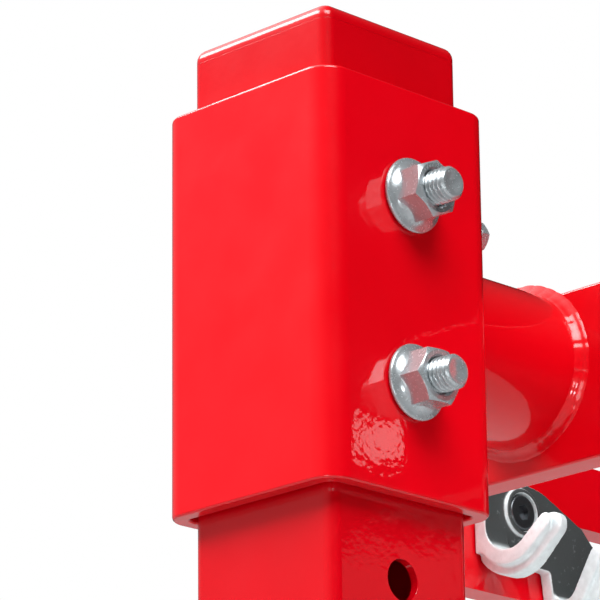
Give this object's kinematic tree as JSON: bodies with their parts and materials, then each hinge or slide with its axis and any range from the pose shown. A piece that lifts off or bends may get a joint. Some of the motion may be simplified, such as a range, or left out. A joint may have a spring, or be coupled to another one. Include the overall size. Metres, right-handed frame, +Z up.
{
  "type": "post clamp head",
  "caption": "Square sleeve bolted round a perforated post, with a welded stub tube, cross bar and two arms that carry swivelling stepped cast claws.",
  "frame": {"origin": "centre of the post's lower end", "axes": "+Z up the post, +X from the sleeve's back face towards the arms, clamp nuts facing -Y"},
  "size_m": [0.37, 0.3018, 0.3567],
  "materials": {
    "red_paint": "glossy red enamel on steel",
    "post_paint": "glossy red powder coat with light orange peel on steel",
    "zinc_plate": "bright zinc plated steel",
    "cast_zinc": "zinc plated casting, satin"
  },
  "bodies": {
    "clamp_head": {"post_tube": "post_paint", "post_cap": "post_paint", "clamp_sleeve": "red_paint", "clamp_bolt_upper": "zinc_plate", "clamp_bolt_lower": "zinc_plate", "clamp_nut_upper": "zinc_plate", "clamp_nut_lower": "zinc_plate", "set_screw_weld_nut": "red_paint", "set_screw_lock_nut": "zinc_plate", "stub_tube": "red_paint", "weld_sleeve_ring": "red_paint", "weld_crossbar_ring": "red_paint", "crossbar": "red_paint", "arm_left": "red_paint", "weld_left_inner": "red_paint", "weld_left_outer": "red_paint", "pivot_bolt_left": "zinc_plate", "pivot_washer_left": "zinc_plate", "pivot_nut_left": "zinc_plate", "arm_right": "red_paint", "weld_right_inner": "red_paint", "weld_right_outer": "red_paint", "pivot_bolt_right": "zinc_plate", "pivot_washer_right": "zinc_plate", "pivot_nut_right": "zinc_plate"},
    "set_screw": {"set_screw": "zinc_plate"},
    "claw_left": {"claw_left": "cast_zinc"},
    "claw_right": {"claw_right": "cast_zinc"}
  },
  "joints": [
    {"name": "claw_left_swivel", "type": "hinge", "parent": "clamp_head", "child": "claw_left", "pos_m": [0.2275, 0.118, 0.256], "axis": [0, -1, 0], "range_deg": [-25, 25]},
    {"name": "claw_right_swivel", "type": "hinge", "parent": "clamp_head", "child": "claw_right", "pos_m": [0.2275, -0.118, 0.256], "axis": [0, -1, 0], "range_deg": [-25, 25]},
    {"name": "set_screw_travel", "type": "slide", "parent": "clamp_head", "child": "set_screw", "axis": [1, 0, 0], "range_m": [0, 0.008]}
  ]
}
